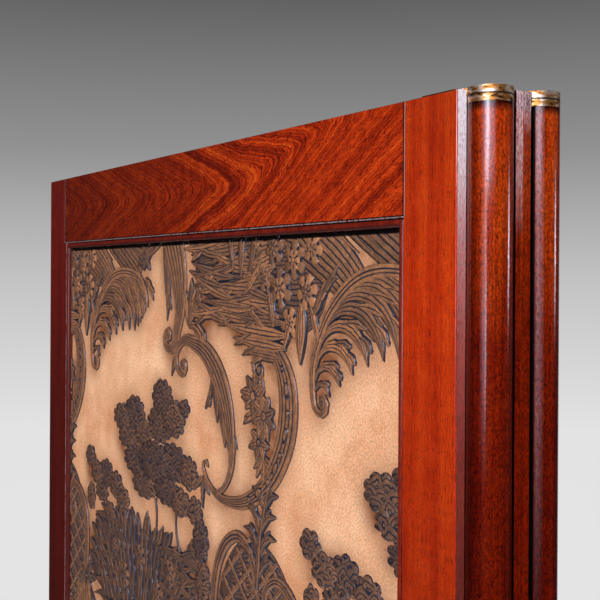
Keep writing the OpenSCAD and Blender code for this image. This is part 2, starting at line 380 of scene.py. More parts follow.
def makeCard(name, look):
    # x = edge + reach * cos(angle), y = reach * sin(angle); its brightness is level times side
    share = np.linspace(0, 1, cardGrid[0])
    angle = np.radians(look["bearing"] + look["width"] * (share - 0.5))
    heights, brightness = np.array(look["levels"]).T
    angle, z = np.meshgrid(angle, np.linspace(heights[0], heights[-1], cardGrid[1]))
    points = np.stack([edgeX + look["reach"] * np.cos(angle), look["reach"] * np.sin(angle), z], -1)
    card = gridObject(name, points, inward=True)
    side = np.interp(share, *np.array(look["sides"]).T)
    setAttribute(card, "bright", np.interp(z, heights, brightness) * side)
    material, tree = newMaterial(name)
    glow = made(tree, "Emission", {"Color": linear(cardTint), "Strength": attribute(tree, "bright")})
    addNode(tree, "OutputMaterial", {0: glow})
    card.data.materials.append(material)
    for ray in ("camera", "diffuse", "shadow", "transmission", "volume_scatter"):
        setattr(card, f"visible_{ray}", False)


for name, look in cardLook.items():
    makeCard(name, look)

floorLook = {
    "radius": 2.8, "tint": "#dcdcdc", "below": 0.5 * mm, "corners": 72,
    # shares of the radius: its rings, and how far out it is solid
    "rings": (0.0, 0.25, 0.5, 0.7, 0.8, 0.9, 1.0), "solid": 0.55,
}


def makeFloor(look):
    # Round pale floor whose rim fades into the backdrop
    turn = np.radians(np.linspace(0, 360, look["corners"] + 1))
    share, turn = np.meshgrid(look["rings"], turn, indexing="ij")
    radius = look["radius"] * share
    points = np.stack([radius * np.cos(turn), radius * np.sin(turn), np.full_like(turn, -look["below"])], -1)
    floor = gridObject("floor", points)
    setAttribute(floor, "fade", np.clip((share - look["solid"]) / (1 - look["solid"]), 0, 1) ** 1.5)
    material, tree = newMaterial("painted studio floor")
    paint = made(tree, "BsdfDiffuse", {"Color": linear(look["tint"])})
    clear = made(tree, "BsdfTransparent", {})
    faded = made(tree, "MixShader", {0: attribute(tree, "fade"), 1: paint, 2: clear})
    addNode(tree, "OutputMaterial", {0: faded})
    floor.data.materials.append(material)


makeFloor(floorLook)
print("world, lamps, cards and floor made")


# Mahogany, French polished: red-brown wood under a thin clear shellac film that mirrors softly
def mahogany(name, look):
    # Tone from wide bands, fine streaks and, on a rail, the flame figure; short dark pores on top
    material, tree = newMaterial(name)
    place = objectPlace(tree)
    x, y, z = axes(place)
    onRail = look["grain"] == "x"

    def stretched(across, along, detail=2.0, rough=0.5, shift=0.0):
        # Noise whose cells have one width across the grain and another along it, in millimetres
        size = (along, across, across) if onRail else (across, across, along)
        return noise(place, size, detail, rough, shift)

    streaks = spread(stretched(look["streak"], look["streak"] * 60, 4.0, 0.6, 7.0), 0.3, 0.7)
    mottle = spread(stretched(look["mottle"], look["mottle"] * 0.9, 3.0, 0.55, 3.0), 0.3, 0.7)
    if look.get("figure"):
        main, pore = flameLines(place, look["figure"])
    else:
        main = spread(stretched(look["band"], look["band"] * 40), 0.32, 0.68)
        pore = stretched(look["pore"], look["pore"] * 14, 1.0, 0.4, 11.0)
    tone = main * look["shares"][0] + mottle * look["shares"][1] + streaks * look["shares"][2]
    poreMask = spread(pore, *look["poreEdge"])
    wood = painted(ramp(tone, look["tones"]), poreMask * look["poreDepth"], look["poreTint"])
    if look.get("fade"):
        # painted shade: the wood darkens along the board, lower down on the stiles and towards the -X end of
        # a rail
        start, end, stops = look["fade"]
        wood = shaded(wood, ramp(spread(x if onRail else z, start, end), stops))
    grit = stretched(look["grit"], look["grit"] * 1.8, 2.0, 0.6, 23.0)
    wood = shaded(wood, spread(grit, 0.3, 0.7, 1 - look["gritDepth"], 1 + look["gritDepth"]))
    if look.get("ring"):
        # beads, counted from the frame: painted shade in the two corners of the step and on the bead's inner
        # edge, and a pale worn line between the corners
        inward = maths("MINIMUM", jointX - abs(x), maths("MINIMUM", openTop - z, z - openFoot))
        worn = spread(stretched(1.6, 9.0, 2.0, 0.6, 29.0), 0.36, 0.52)
        for low, high, tint, depth, broken in look["ring"]:
            amount = stripe(inward, low, high) * depth
            wood = painted(wood, amount * worn if broken else amount, tint)
    if look.get("joint"):
        # painted glint and shadow at the joint of stile and top rail: a pale line on the stile, a dark line
        # on the rail
        low, high, tint, depth = look["joint"]
        near = spread(abs(z - railMiddle), railHalf + 0.5 * mm, railHalf + 1 * mm, 1.0, 0.0)
        wood = painted(wood, stripe(abs(x) - jointX, low, high) * near * depth, tint)

    waves = stretched(look["wave"], look["wave"] * 5, 2.0, 0.5, 5.0)
    filmBump = bump(waves, look["waveDepth"], 1 * mm)
    rough = spread(mottle, 0.0, 1.0, look["rough"] - 0.05, look["rough"] + 0.06)
    film = look["coat"]
    if look.get("edge"):
        wood, rough, film = edgeWearAndPaintedLight(look, place, stretched, wood, rough, film)
    principled(tree, {
        "Base Color": wood, "Roughness": rough, "IOR": 1.5, "Specular IOR Level": look["specular"],
        "Normal": bump(poreMask, look["poreBump"], 0.4 * mm, filmBump, True),
        "Coat Weight": film, "Coat Roughness": look["coatRough"], "Coat IOR": 1.5,
        "Coat Normal": bump(grit, look["coatBump"], 0.4 * mm, filmBump, True),
    })
    return material


# Places across the worked edges in metres. Those named towards are distances from the axis of a nose to the
# side of its fillet; the others are counted outwards from the flat edge of the leaf
edgePlaces = {
    "flatEdge": (-0.00004, -0.00001), "lip": (0.00001, 0.00004),
    "nose": (0.0005, 0.0185), "groove": (0.0088, 0.0091),
    "towardsShoulder": (0.0, 0.0095), "towardsBand": (0.0046, 0.0074), "towardsBandEnd": (0.0078, 0.0087),
    "towardsThinFilm": (0.0070, 0.0086), "towardsGroove": (0.0087, 0.01082),
    "towardsFillet": (0.01085, 0.01095), "towardsArris": (0.0112, 0.0118),
    # heights of the painted sheen band and of the painted glare
    "bandHeight": (1.56, 1.81), "glareHeight": (1.55, 1.83),
}


def edgeWearAndPaintedLight(look, place, stretched, wood, rough, film):
    # Colour with painted shade, sheen and glare, and the worn roughness and film, on the noses, the fillets
    # and the lip. The right edge of the screen has its two nose axes at either side of the middle, the left
    # edge has one in the middle
    x, y, z = axes(place)
    at = edgePlaces
    edge = look["edge"]
    beyond = abs(x) - edgeX
    onRight = spread(x, -0.1 * mm, 0.1 * mm)
    onRear = spread(y, 0.0, 0.3 * mm)
    towards = onRight * (noseY - abs(y)) + (1.0 - onRight) * y
    # the flat edge of the leaf has lost its polish: a rough gloss, and a pale painted glare towards the top
    outer = spread(beyond, *at["flatEdge"])
    lip = spread(beyond, *at["lip"], 1.0, 0.0)
    bare = outer * maths("MAXIMUM", spread(towards, *at["towardsFillet"]), lip)
    if look.get("nose"):
        # painted shade: the nose darkens towards its inner side by the cove, and towards its flank beside the
        # fillet
        wood = shaded(wood, ramp(spread(beyond, *at["nose"]), look["nose"]))
        wood = shaded(wood, ramp(spread(towards, *at["towardsShoulder"]), look["shoulder"]))
        # painted sheen: a pale band on the nose of the pair behind, beside its groove, stronger towards the
        # top
        paintedSheen = spread(towards, *at["towardsBand"]) * spread(towards, *at["towardsBandEnd"], 1.0, 0.0)
        paintedSheen = paintedSheen * onRear * onRight * spread(z, *at["bandHeight"], 0.0, 0.26)
        paintedSheen = paintedSheen * spread(stretched(0.9, 2.4, 3.0, 0.7, 41.0), 0.36, 0.60, 0.35, 1.4)
        wood = painted(wood, paintedSheen, look["paintedSheen"])
        # painted shade fills the groove with near black, and the film is thin there
        grooveShade = stripe(towards, *at["towardsGroove"]) * spread(beyond, *at["groove"])
        wood = painted(wood, grooveShade, look["grooveShade"])
        film = grooveShade * -look["coat"] + film
        film = film * spread(towards, *at["towardsThinFilm"], 1.0, 0.12)
    rough = bare * (edge["rough"] - look["rough"]) + rough
    # the film stays on the rounded arris of the fillet
    unfilmed = outer * maths("MAXIMUM", spread(towards, *at["towardsArris"]), lip)
    film = unfilmed * (-look["coat"] * edge["lost"]) + film
    height = spread(z, *at["glareHeight"])
    amount = ramp(height, edge["paintedGlare"]) * spread(stretched(0.5, 3.0, 3.0, 0.7, 17.0), *edge["streaky"])
    # the leaf behind has its painted glare only at the very top
    behind = spread(height, 0.92, 0.975, *edge["second"])
    amount = amount * (onRear * (behind - 1.0) + 1.0) * bare
    # painted shade on the bare edge from low to high: darker lower down on a stile's lip; on a nose's fillet
    # it lifts the nose's painted shade
    wood = shaded(wood, bare * (spread(height, 0.0, 1.0, *edge["edgeShade"]) - 1.0) + 1.0)
    return painted(wood, maths("MINIMUM", amount, 1.0), edge["tint"]), rough, film


def flameLines(place, figure):
    # Flame figure: growth lines of the board cut at the fork of a branch, nested arrow heads that open
    # to the left. v = x + K * sqrt((z - zc)^2 + e^2) is the same along one growth line; the line of
    # tips zc rises to the right of the knee. A noise of v alone gives uneven lines.
    across, _, up = axes(place)
    x = (across - figure["left"]) * 1000.0
    z = (up - figure["middle"]) * 1000.0
    off = z - maths("MAXIMUM", x - figure["knee"], 0.0) * figure["rise"]
    arm = maths("SQRT", off * off + figure["tip"] ** 2)
    drift = noise(place, (45.0, 45.0, 16.0), 4.0, 0.6)
    ragged = noise(place, 5.0, 3.0, 0.6)
    v = x + arm * figure["slope"] + drift * figure["drift"] + ragged * figure["ragged"]
    broad = countNoise([v / figure["broad"]], 1.0)
    fine = countNoise([v / figure["fine"]], 3.0, 0.65)
    speck = countNoise([v / figure["speck"], z / (figure["speck"] * 2.2)], 2.0)
    pore = countNoise([v / figure["pore"], x / figure["dash"]], 1.0, 0.4)
    lines = spread(broad, 0.3, 0.7) * 0.34 + spread(fine, 0.3, 0.7) * 0.40 + spread(speck, 0.3, 0.7) * 0.26
    # thin dark line where the fine noise passes its middle
    return lines - spread(abs(fine - 0.5), 0.0, 0.05, figure["line"], 0.0), pore


stileLook = {
    "grain": "z",
    "tones": ((0.0, "#7a1604"), (0.35, "#a82804"), (0.6, "#ba3406"), (1.0, "#cc480c")),
    # cell widths of the noises in millimetres, here and below
    "band": 9.0,
    "streak": 0.9,
    "mottle": 16.0,
    # shares of bands or flame figure, of mottle and of streaks in the tone
    "shares": (0.40, 0.22, 0.38),
    # painted shade along the board: start, end, and the shade between them
    "fade": (1.50, 1.83, ((0.0, 0.62), (0.5, 0.92), (0.7, 1.0), (0.9, 0.88), (1.0, 0.80))),
    # painted glint at the joint with the top rail: start and end beyond the joint, tint, depth
    "joint": (0.0, 0.55 * mm, "#8f8285", 0.85),
    # bare edge: worn rough and mostly without film, with painted shade lower down and a painted glare towards
    # the top
    "edge": {"rough": 0.55, "lost": 0.9, "tint": "#e2e0ec", "second": (1.0, 1.0), "edgeShade": (0.27, 0.92),
             "streaky": (0.3, 0.62, 0.25, 1.35),
             "paintedGlare": ((0.0, 0.01), (0.35, 0.03), (0.55, 0.07), (0.70, 0.20), (0.77, 0.32), (0.85, 0.62),
                       (0.93, 0.86), (1.0, 0.98))},
    "grit": 0.7,
    "gritDepth": 0.30,
    "pore": 0.42,
    "poreEdge": (0.57, 0.66),
    "poreTint": "#4a0d04",
    "poreDepth": 0.6,
    "poreBump": 0.35,
    "wave": 22.0,
    "waveDepth": 0.10,
    "rough": 0.42,
    "specular": 0.10,
    "coat": 0.85,
    "coatRough": 0.10,
    "coatBump": 0.05,
}
# painted shade: a darker copy of the stile wood for the stile on the left as a leaf's front is seen,
# darkening more towards the bottom
shadedStileLook = dict(
    stileLook, tones=((0.0, "#4e0f07"), (0.35, "#66160a"), (0.6, "#701a0d"), (1.0, "#832412")),
    fade=(1.40, 1.83, ((0.0, 0.45), (0.5, 0.60), (0.85, 0.95), (1.0, 1.0))),
)
noseLook = dict(
    stileLook, tones=((0.0, "#6c1503"), (0.3, "#9a2b06"), (0.6, "#b84208"), (1.0, "#d46216")),
    # painted shade down the nose, darker lower down, with a dark stain under the plates at the top
    fade=(1.50, 1.83, ((0.0, "#6c4438"), (0.35, "#8a5c4c"), (0.62, "#a07464"), (0.8, "#d8c0b8"),
                       (0.965, "#e8dcd8"), (0.975, "#4c3c38"), (1.0, "#3c302c"))),
    # painted shade across the nose, darker towards its inner side by the cove
    nose=((0.0, 0.50), (0.30, 0.46), (0.47, 0.55), (0.60, 0.72), (0.75, 0.82)),
    # painted shade beside the fillet, a pale painted sheen beside the groove, and near-black painted shade in
    # the groove
    shoulder=((0.0, 1.0), (0.25, 1.0), (0.5, 0.72), (0.8, 0.55)), paintedSheen="#c9a3ae", grooveShade="#050202",
    # bare fillet: worn rough and mostly without film, with the nose's painted shade lifted and a painted
    # glare towards the top
    edge={"rough": 0.55, "lost": 0.9, "tint": "#cdaab0", "second": (0.03, 0.7), "edgeShade": (2.5, 1.2),
          "streaky": (0.38, 0.58, 0.0, 1.6),
          "paintedGlare": ((0.0, 0.0), (0.74, 0.0), (0.80, 0.14), (0.86, 0.34), (0.93, 0.55), (1.0, 0.80))},
    joint=None, band=3.6, streak=1.0, grit=0.95, gritDepth=0.70, poreDepth=0.42, wave=7.0, specular=0.02,
    coatRough=0.09, coatBump=0.10,
)
railEnd = jointX + 1 * mm
railLook = dict(
    stileLook, grain="x", mottle=9.0, shares=(0.74, 0.17, 0.12), poreDepth=0.75, poreTint="#380802",
    edge=None,
    tones=((0.0, "#4c0a02"), (0.28, "#801b03"), (0.5, "#b23006"), (0.74, "#cc460c"), (1.0, "#de6a1c")),
    # painted shade: darker towards the -X end of the rail
    fade=(-railEnd, railEnd, ((0.0, 0.42), (0.33, 0.50), (0.5, 0.66), (0.7, 0.92), (1.0, 1.0))),
    # painted shadow on the rail at its joint with the stile: start and end beyond the joint, tint, depth
    joint=(-1.3 * mm, -0.1 * mm, "#2c0a06", 0.75),
    # left and middle are metres, rise, slope and line are shares, and the others are millimetres
    figure={"left": -railEnd, "middle": railMiddle, "knee": 350.0, "rise": 0.24, "tip": 6.5, "slope": 3.1,
            "drift": 22.0, "ragged": 4.2, "broad": 26.0, "fine": 5.0, "speck": 1.6, "line": 0.42, "pore": 1.9,
            "dash": 3.6},
)
footMiddle = (footBox[0][2] + footBox[1][2]) / 2
bottomRailLook = dict(railLook, figure=dict(railLook["figure"], middle=footMiddle, knee=300.0, rise=0.3))
beadLook = dict(
    stileLook, tones=((0.0, "#420b05"), (0.5, "#6b1a0b"), (1.0, "#8a2a16")), band=5.0, mottle=8.0, fade=None,
    joint=None, edge=None,
    # rings of painted shade and one worn line: start, end, tint, depth, and whether it is broken by wear
    ring=((-0.2 * mm, 0.4 * mm, "#0a0302", 0.97, False), (0.6 * mm, 1.3 * mm, "#8f898e", 0.8, True),
          (1.5 * mm, 2.1 * mm, "#0a0302", 0.95, False), (4.6 * mm, 6.4 * mm, "#2c1a1c", 0.6, False)),
)
# Pine board behind the panel: pale softwood, only its edges could ever be seen
boardLook = dict(
    stileLook, tones=((0.0, "#8d6a42"), (0.5, "#b98f5e"), (1.0, "#d3ad7c")), poreTint="#6c4a28", coat=0.0,
    rough=0.7, fade=None, band=14.0, joint=None, edge=None,
)

stileWood = mahogany("French polished mahogany", stileLook)
shadedStileWood = mahogany("French polished mahogany, painted shade", shadedStileLook)
noseWood = mahogany("French polished mahogany, nose", noseLook)
railWood = mahogany("French polished flame mahogany", railLook)
bottomRailWood = mahogany("French polished flame mahogany, bottom rail", bottomRailLook)
beadWood = mahogany("French polished mahogany bead", beadLook)
boardWood = mahogany("planed pine", boardLook)


# Brass, cast and rubbed: gold where hands rub it, brown-black tarnish in patches
plateGap = 0.2 * mm
brassLook = {
    "gold": "#a0682c", "pale": "#c8b8a8", "tarnish": "#2a1a12", "metal": 0.85,
    "patch": (5.5, 5.5, 2.0), "scratch": 0.6,
    # heights of the dark lines between two plates, in the middle of the gap
    "topSeam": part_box("hinge_1_top_cove_plate")[0][2] - plateGap / 2,
    "footSeam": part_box("hinge_1_bottom_cove_plate")[1][2] + plateGap / 2,
    # how far from there such a line fades and ends, and its depth
    "seamHalf": (0.3 * mm, 0.6 * mm), "seamDirt": 0.95,
    "topPaler": 0.05,  # how much more the plates over the top line are rubbed
    # the straps end in this stretch of x, and the depth of their dirt
    "strapEnd": (0.3025, 0.3055), "strapDirt": 0.85,
}


def brass(look):
    # Streaky patches of tarnish from noise, fine scratches in the gloss
    material, tree = newMaterial("rubbed brass")
    place = objectPlace(tree)
    x, _, z = axes(place)
    patch = noise(place, look["patch"], 5.0, 0.65)
    # the uppermost discs are rubbed palest
    worn = patch + spread(z, look["topSeam"], look["topSeam"] + 0.2 * mm, 0.0, look["topPaler"])
    gold = look["gold"]
    metal = ramp(worn, ((0.40, look["tarnish"]), (0.46, gold), (0.52, gold), (0.60, look["pale"])))
    for seam in (look["topSeam"], look["footSeam"]):
        near = spread(abs(z - seam), *look["seamHalf"], look["seamDirt"], 0.0)
        metal = painted(metal, near, look["tarnish"])
    # the straps beyond the discs are never rubbed and keep their tarnish
    metal = painted(metal, spread(abs(x), *look["strapEnd"], look["strapDirt"], 0.0), look["tarnish"])
    scratches = noise(place, look["scratch"])
    principled(tree, {"Metallic": look["metal"], "Base Color": metal,
                      "Roughness": spread(patch, 0.4, 0.6, 0.50, 0.32),
                      "Normal": bump(scratches, 0.4, 0.2 * mm)})
    return material


brassMetal = brass(brassLook)


def dress(name, material):
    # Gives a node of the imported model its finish
    for place in nodes[name].material_slots:
        place.material = material


for k in leaves:
    for side in ("left", "right"):
        # leaves 1 and 2 and leaves 3 and 4 are hinged on the right, leaves 2 and 3 on the left
        nose = (k, side) in ((2, "right"), (3, "left"), (3, "right"))
        # painted shade: the stile on the left, as a leaf's front is seen, takes the darker copy of the wood
        plain = shadedStileWood if (side == "left") == (k in (1, 3)) else stileWood
        dress(f"leaf_{k}_{side}_stile", noseWood if nose else plain)
    for part, material in (("top_rail", railWood), ("bottom_rail", bottomRailWood), ("front_beads", beadWood),
                           ("back_beads", beadWood), ("board", boardWood), ("screws", brassMetal)):
        dress(f"leaf_{k}_{part}", material)
for k in (1, 2, 3):
    for part in ("top_cove_plate", "top_nose_plate", "bottom_cove_plate", "bottom_nose_plate", "pins"):
        dress(f"hinge_{k}_{part}", brassMetal)
print("wood and brass finished")


# Ornament of the leather. A path is an (n, 2) array of a and b; angles are degrees, 0 to the right
# and 90 up. Every body is a closed tube that is flat below and lies on the ground of the leather.
def curveThrough(points, count=60):
    # Catmull-Rom curve through the points, resampled at equal steps of its length
    p = np.asarray(points, float)
    ends = np.vstack([2 * p[0] - p[1], p, 2 * p[-1] - p[-2]])
    t = np.linspace(0, len(p) - 1, 10 * len(p))
    i = np.minimum(t.astype(int), len(p) - 2)
    f = (t - i)[:, None]
    p0, p1, p2, p3 = ends[i], ends[i + 1], ends[i + 2], ends[i + 3]
    fine = p1 + 0.5 * f * (p2 - p0 + f * (2 * p0 - 5 * p1 + 4 * p2 - p3 + f * (3 * p1 - p0 - 3 * p2 + p3)))
    length = np.r_[0, np.cumsum(np.hypot(*np.diff(fine, axis=0).T))]
    even = np.linspace(0, length[-1], count)
    return np.column_stack([np.interp(even, length, fine[:, 0]), np.interp(even, length, fine[:, 1])])


def volute(start, centre, turns, inner, count=26):
    # Spiral from the start about the centre; its radius shrinks to inner by equal ratios
    arm = np.subtract(start, centre)
    radius = np.hypot(*arm)
    t = np.linspace(0, 1, count)[:, None]
    angle = math.atan2(arm[1], arm[0]) + turns * 2 * math.pi * t
    return np.asarray(centre) + radius * (inner / radius) ** t * np.hstack([np.cos(angle), np.sin(angle)])


def bentPath(start, angle, length, turn, ease=1.0, count=24):
    # Path whose heading swings by turn degrees from its start to its end, late when ease is above 1
    share = (np.arange(count - 1) + 0.5) / (count - 1)
    heading = np.radians(angle + turn * share ** ease)
    step = length / (count - 1)
    steps = step * np.column_stack([np.cos(heading), -np.sin(heading)])
    return np.vstack([[start], np.asarray(start) + np.cumsum(steps, axis=0)])


def leafWidths(width, root=0.35, tip=0.75, count=20):
    # Widths of a leaf: root share at its foot, widest where t to the power of tip is a half, a point
    t = np.linspace(0, 1, count)
    swell = np.sin(math.pi * t ** tip) ** 0.7
    return width * np.maximum(swell, root * (1 - t) ** 2) + 0.3


ornament = []  # bodies of one repeat: positions (rows, columns, 3) as a, b, height; ink; tone; line; scaly
dice = np.random.default_rng(12)
footLevel = -9.0  # level of a body's foot; any number below zero puts it under the ground
reliefLook = {
    # millimetres: dark foot round a body, half of a carved valley, steps along a body, depth of the foot
    "outline": 1.3, "groove": 0.85, "step": 5.8, "carvedStep": 4.8, "sunk": 0.5,
    # dark foot of a plain round body and of one with petals
    "bossFoot": 0.9, "petalFoot": 1.7,
    "tones": (0.0, 1.0),  # range of tones of the motif that is being drawn
}


def pickTone(tone):
    # The tone given, or one picked from the motif's range
    low, high = reliefLook["tones"]
    return low + (high - low) * dice.random() if tone is None else tone


def ribbon(path, widths, ribs=3, height=1.0, lift=0.0, tone=None, carved=False):
    # Body carried along a path: a dark foot that slopes up from below the ground, then the ribs, and
    # the foot again; both ends slope down too. Carved ribs have narrow valleys between them, the others
    # have inked lines where the count across, from 0 to the number of ribs, passes a whole number.
    path = np.asarray(path, float)
    run = np.r_[0, np.cumsum(np.hypot(*np.diff(path, axis=0).T))]
    lip = min(reliefLook["outline"], run[-1] / 4)
    rows = max(4, int(run[-1] / reliefLook["carvedStep" if carved else "step"]))
    at = np.r_[0, np.linspace(lip, run[-1] - lip, rows), run[-1]]
    spine = np.column_stack([np.interp(at, run, path[:, 0]), np.interp(at, run, path[:, 1])])
    half = np.interp(at / run[-1], np.linspace(0, 1, len(widths)), widths) / 2
    tangent = np.gradient(spine, axis=0)
    tangent /= np.hypot(*tangent.T)[:, None] + 1e-9
    across = np.column_stack([tangent[:, 1], -tangent[:, 0]])
    edge = np.minimum(reliefLook["outline"] / half, 0.4)[:, None]
    if carved:
        rib = 2 * (1 - edge) / ribs
        gap = np.minimum(reliefLook["groove"] / half[:, None], 0.3 * rib)
        columns, level, ink = [-np.ones_like(edge)], [footLevel], [1.0]
        for r in range(ribs):
            left = -(1 - edge) + r * rib
            columns += [left + (gap if r else 0), left + rib - (gap if r < ribs - 1 else 0)]
            level += [0.95, 0.95]
            ink += [0.0, 0.0]
            if r < ribs - 1:
                columns.append(left + rib)
                level.append(0.5)
                ink.append(1.0)
        columns, level, ink = columns + [np.ones_like(edge)], level + [footLevel], ink + [1.0]
        line = [0.5] * len(level)
    else:
        columns = [-np.ones_like(edge), edge - 1, 0 * edge, 1 - edge, np.ones_like(edge)]
        level, ink = [footLevel, 0.85, 1.05, 0.85, footLevel], [1.0, 0.0, 0.0, 0.0, 1.0]
        line = [0.0, 0.0, ribs / 2, ribs, ribs]
    s = np.hstack(columns)
    level, ink, line = (np.tile(values, (len(at), 1)) for values in (level, ink, line))
    # the body is rounded: it falls by 22 percent towards its sides
    level = np.where(level > 0, level * (1 - 0.22 * s ** 2), level)
    level[0] = level[-1] = footLevel
    ink[0] = ink[-1] = 1.0
    h = np.where(level < 0, -reliefLook["sunk"], lift + height * level)
    place = spine[:, None] + across[:, None] * (half[:, None] * s)[..., None]
    ornament.append((np.dstack([place, h]), ink, np.full_like(ink, pickTone(tone)), line, 0 * ink))


def boss(centre, across, along, rings=1, height=1.0, lift=0.0, tilt=0.0, tone=None, count=12, lobes=0,
         depth=0.0, scaly=0.0):
    # Round body on a polar grid: a dark foot, then rings with inked lines between them, and a crown.
    # With lobes its outline swings in by depth between them, and on a flower the inked lines run out
    # from the middle; a scaly body gets its rows of scales from the material.
    outer = 1 - reliefLook["petalFoot" if lobes else "bossFoot"] / across
    count = 6 * lobes if lobes else count
    radius, level, ink = [1.0, outer, 0.5 * outer, 0.02], [footLevel, 0.8, 1.0, 1.1], [1.0, 0.0, 0.0, 0.0]
    turn = -np.linspace(0, 2 * math.pi, count + 1)[None]
    radius, level, ink = (np.array(values)[:, None] + 0 * turn for values in (radius, level, ink))
    line = 0.5 + (rings - 0.5) * np.minimum(radius / outer, 1)
    if lobes:
        line = 0 * radius + 0.5 if scaly else 0.5 + 0 * radius - turn * lobes / (2 * math.pi)
        radius = radius * (1 - depth * (1 - np.abs(np.cos(turn * lobes / 2)) ** 0.7) * radius)
    u, v = across * radius * np.cos(turn), along * radius * np.sin(turn)
    c, s = math.cos(math.radians(tilt)), math.sin(math.radians(tilt))
    a, b = centre[0] + u * c - v * s, centre[1] - (u * s + v * c)
    h = np.where(level < 0, -reliefLook["sunk"], lift + height * level)
    ornament.append((np.dstack([a, b, h]), ink, np.full_like(ink, pickTone(tone)), line,
                     np.full_like(ink, scaly)))


def leaf(start, angle, length, turn=0.0, width=8.0, ribs=3, teeth=2, lift=0.3, height=1.0, ease=1.0,
         tip=0.75):
    # Long leaf with teeth: shorter leaves that leave its outer side near the tip
    path = bentPath(start, angle, length, turn, ease)
    for i in range(teeth):
        share = 0.50 + 0.2 * i
        root = path[int(share * (len(path) - 1))]
        heading = angle + turn * share ** ease
        outward = -math.copysign(1, turn or 1)
        ribbon(bentPath(root, heading + outward * 24, length * (0.36 - 0.1 * i), turn * 0.3),
               leafWidths(width * 0.7, 0.9, tip), 2, height, lift - 0.04 * (i + 1))
    ribbon(path, leafWidths(width, 0.35, tip), ribs, height, lift)


def tier(centre, half, size, lean, lift, turn=14):
    # Row of short upright leaves whose headings fan out from the middle of the row
    for a in np.arange(centre[0] - half, centre[0] + half + 1, size * 0.42):
        foot = (a + 3 * dice.random(), centre[1] + 5 * dice.random())
        heading = 90 - lean * (a - centre[0]) / half + 24 * dice.random() - 12
        ribbon(bentPath(foot, heading, size * (0.8 + 0.45 * dice.random()), turn * (1 - 2 * dice.random())),
               leafWidths(0.46 * size, 0.6), 2, 0.85, lift)


def plume():
    # Acanthus plume: a stem that rises from a volute and arches over, with a fan of curling leaves
    foot = (61, 107)
    arch = curveThrough([(183, 58), (180, 45), (164, 33), (132, 29), (104, 35), (79, 53), (64, 76), (60, 92),
                         foot])
    coil = volute(foot, (71, 108), -0.95, 3.0)
    fan = (
        # start a, b, heading, length, turn, width
        (150, 33, 0, 40, -95, 8), (130, 31, 14, 66, -110, 9), (112, 35, 28, 82, -122, 10),
        (97, 42, 40, 94, -132, 11), (86, 51, 50, 100, -142, 11), (77, 61, 60, 96, -148, 11),
        (70, 71, 68, 86, -152, 11), (66, 80, 74, 72, -156, 10), (64, 89, 79, 55, -160, 9),
        (63, 97, 82, 39, -166, 8), (63, 103, 82, 24, -175, 6),
    )
    for i, (a, b, heading, length, turn, width) in enumerate(fan):
        leaf((a, b), heading, length, turn, 1.12 * width, 3, 2 if length > 35 else 1,
             0.1 + 0.05 * i, 1.0, 1.0, 1.5)
    ribbon(np.vstack([arch, coil[1:]]), [3, 7, 9, 10, 10, 10, 9, 8, 6, 4], 3, 1.2, 0.55, 0.75, True)
    boss((72, 108), 4.6, 4.6, 2, 1.2, 0.7)
    leaf((178, 34), -25, 26, -45, 9, 3, 1, 0.2)


def ribbedScroll():
    # Broad ribbed leaf that narrows to a volute, with two side leaves and a small one below
    arm = curveThrough([(226, -16), (230, 4), (239, 25), (244, 45), (243, 62), (238, 75)])
    coil = volute((238, 75), (224, 79), 1.2, 3.0)
    leaf((216, -6), -84, 54, -8, 11, 3, 1, 0.1)
    leaf((222, 22), -88, 46, -6, 10, 3, 1, 0.2)
    ribbon(np.vstack([arm, coil[1:]]), [36, 36, 34, 31, 27, 21, 16, 13, 10, 8, 6, 4], 6, 1.2, 0.4, 0.5, True)
    boss((224, 79), 5.0, 5.0, 2, 1.2, 0.6)
    leaf((238, 90), -120, 22, 12, 8, 2, 0, 0.1)


def sprig():
    # Small spray of curled leaves
    for heading, length, turn, width in (
            (96, 34, 34, 12), (70, 38, 22, 13), (44, 38, 26, 12), (20, 38, -110, 13)):
        leaf((258, 70), heading, length, turn, width, 3, 1, 0.3, 1.0, 1.0, 1.2)
    leaf((262, 62), 6, 26, 40, 6, 2, 0, 0.2)
    leaf((266, 70), -40, 16, 60, 6, 2, 0, 0.2)


def leafScroll():
    # C-scroll: a ribbed band from a volute over an arch to a thin tail, with leaves on its inner side
    top = (262, 81)
    coil = volute(top, (250, 99), -1.15, 3.0)[::-1]
    arm = curveThrough([top, (284, 86), (304, 100), (318, 121), (326, 145), (327, 164), (317, 180),
                        (302, 187)])
    for a, b, heading, length, turn, width in (
            (290, 93, -48, 48, -46, 8), (297, 100, -50, 58, -38, 9), (305, 106, -56, 66, -26, 9),
            (296, 106, -84, 26, -60, 6)):
        leaf((a, b), heading, length, turn, 1.35 * width, 3, 1, 0.2, 1.0, 1.0, 1.2)
    ribbon(np.vstack([coil, arm[1:]]), [4, 5, 7, 9, 12, 17, 21, 22, 19, 13, 8, 6, 5],
           5, 1.25, 0.45, 0.45, True)
    boss((250, 99), 4.8, 4.8, 2, 1.2, 0.6)


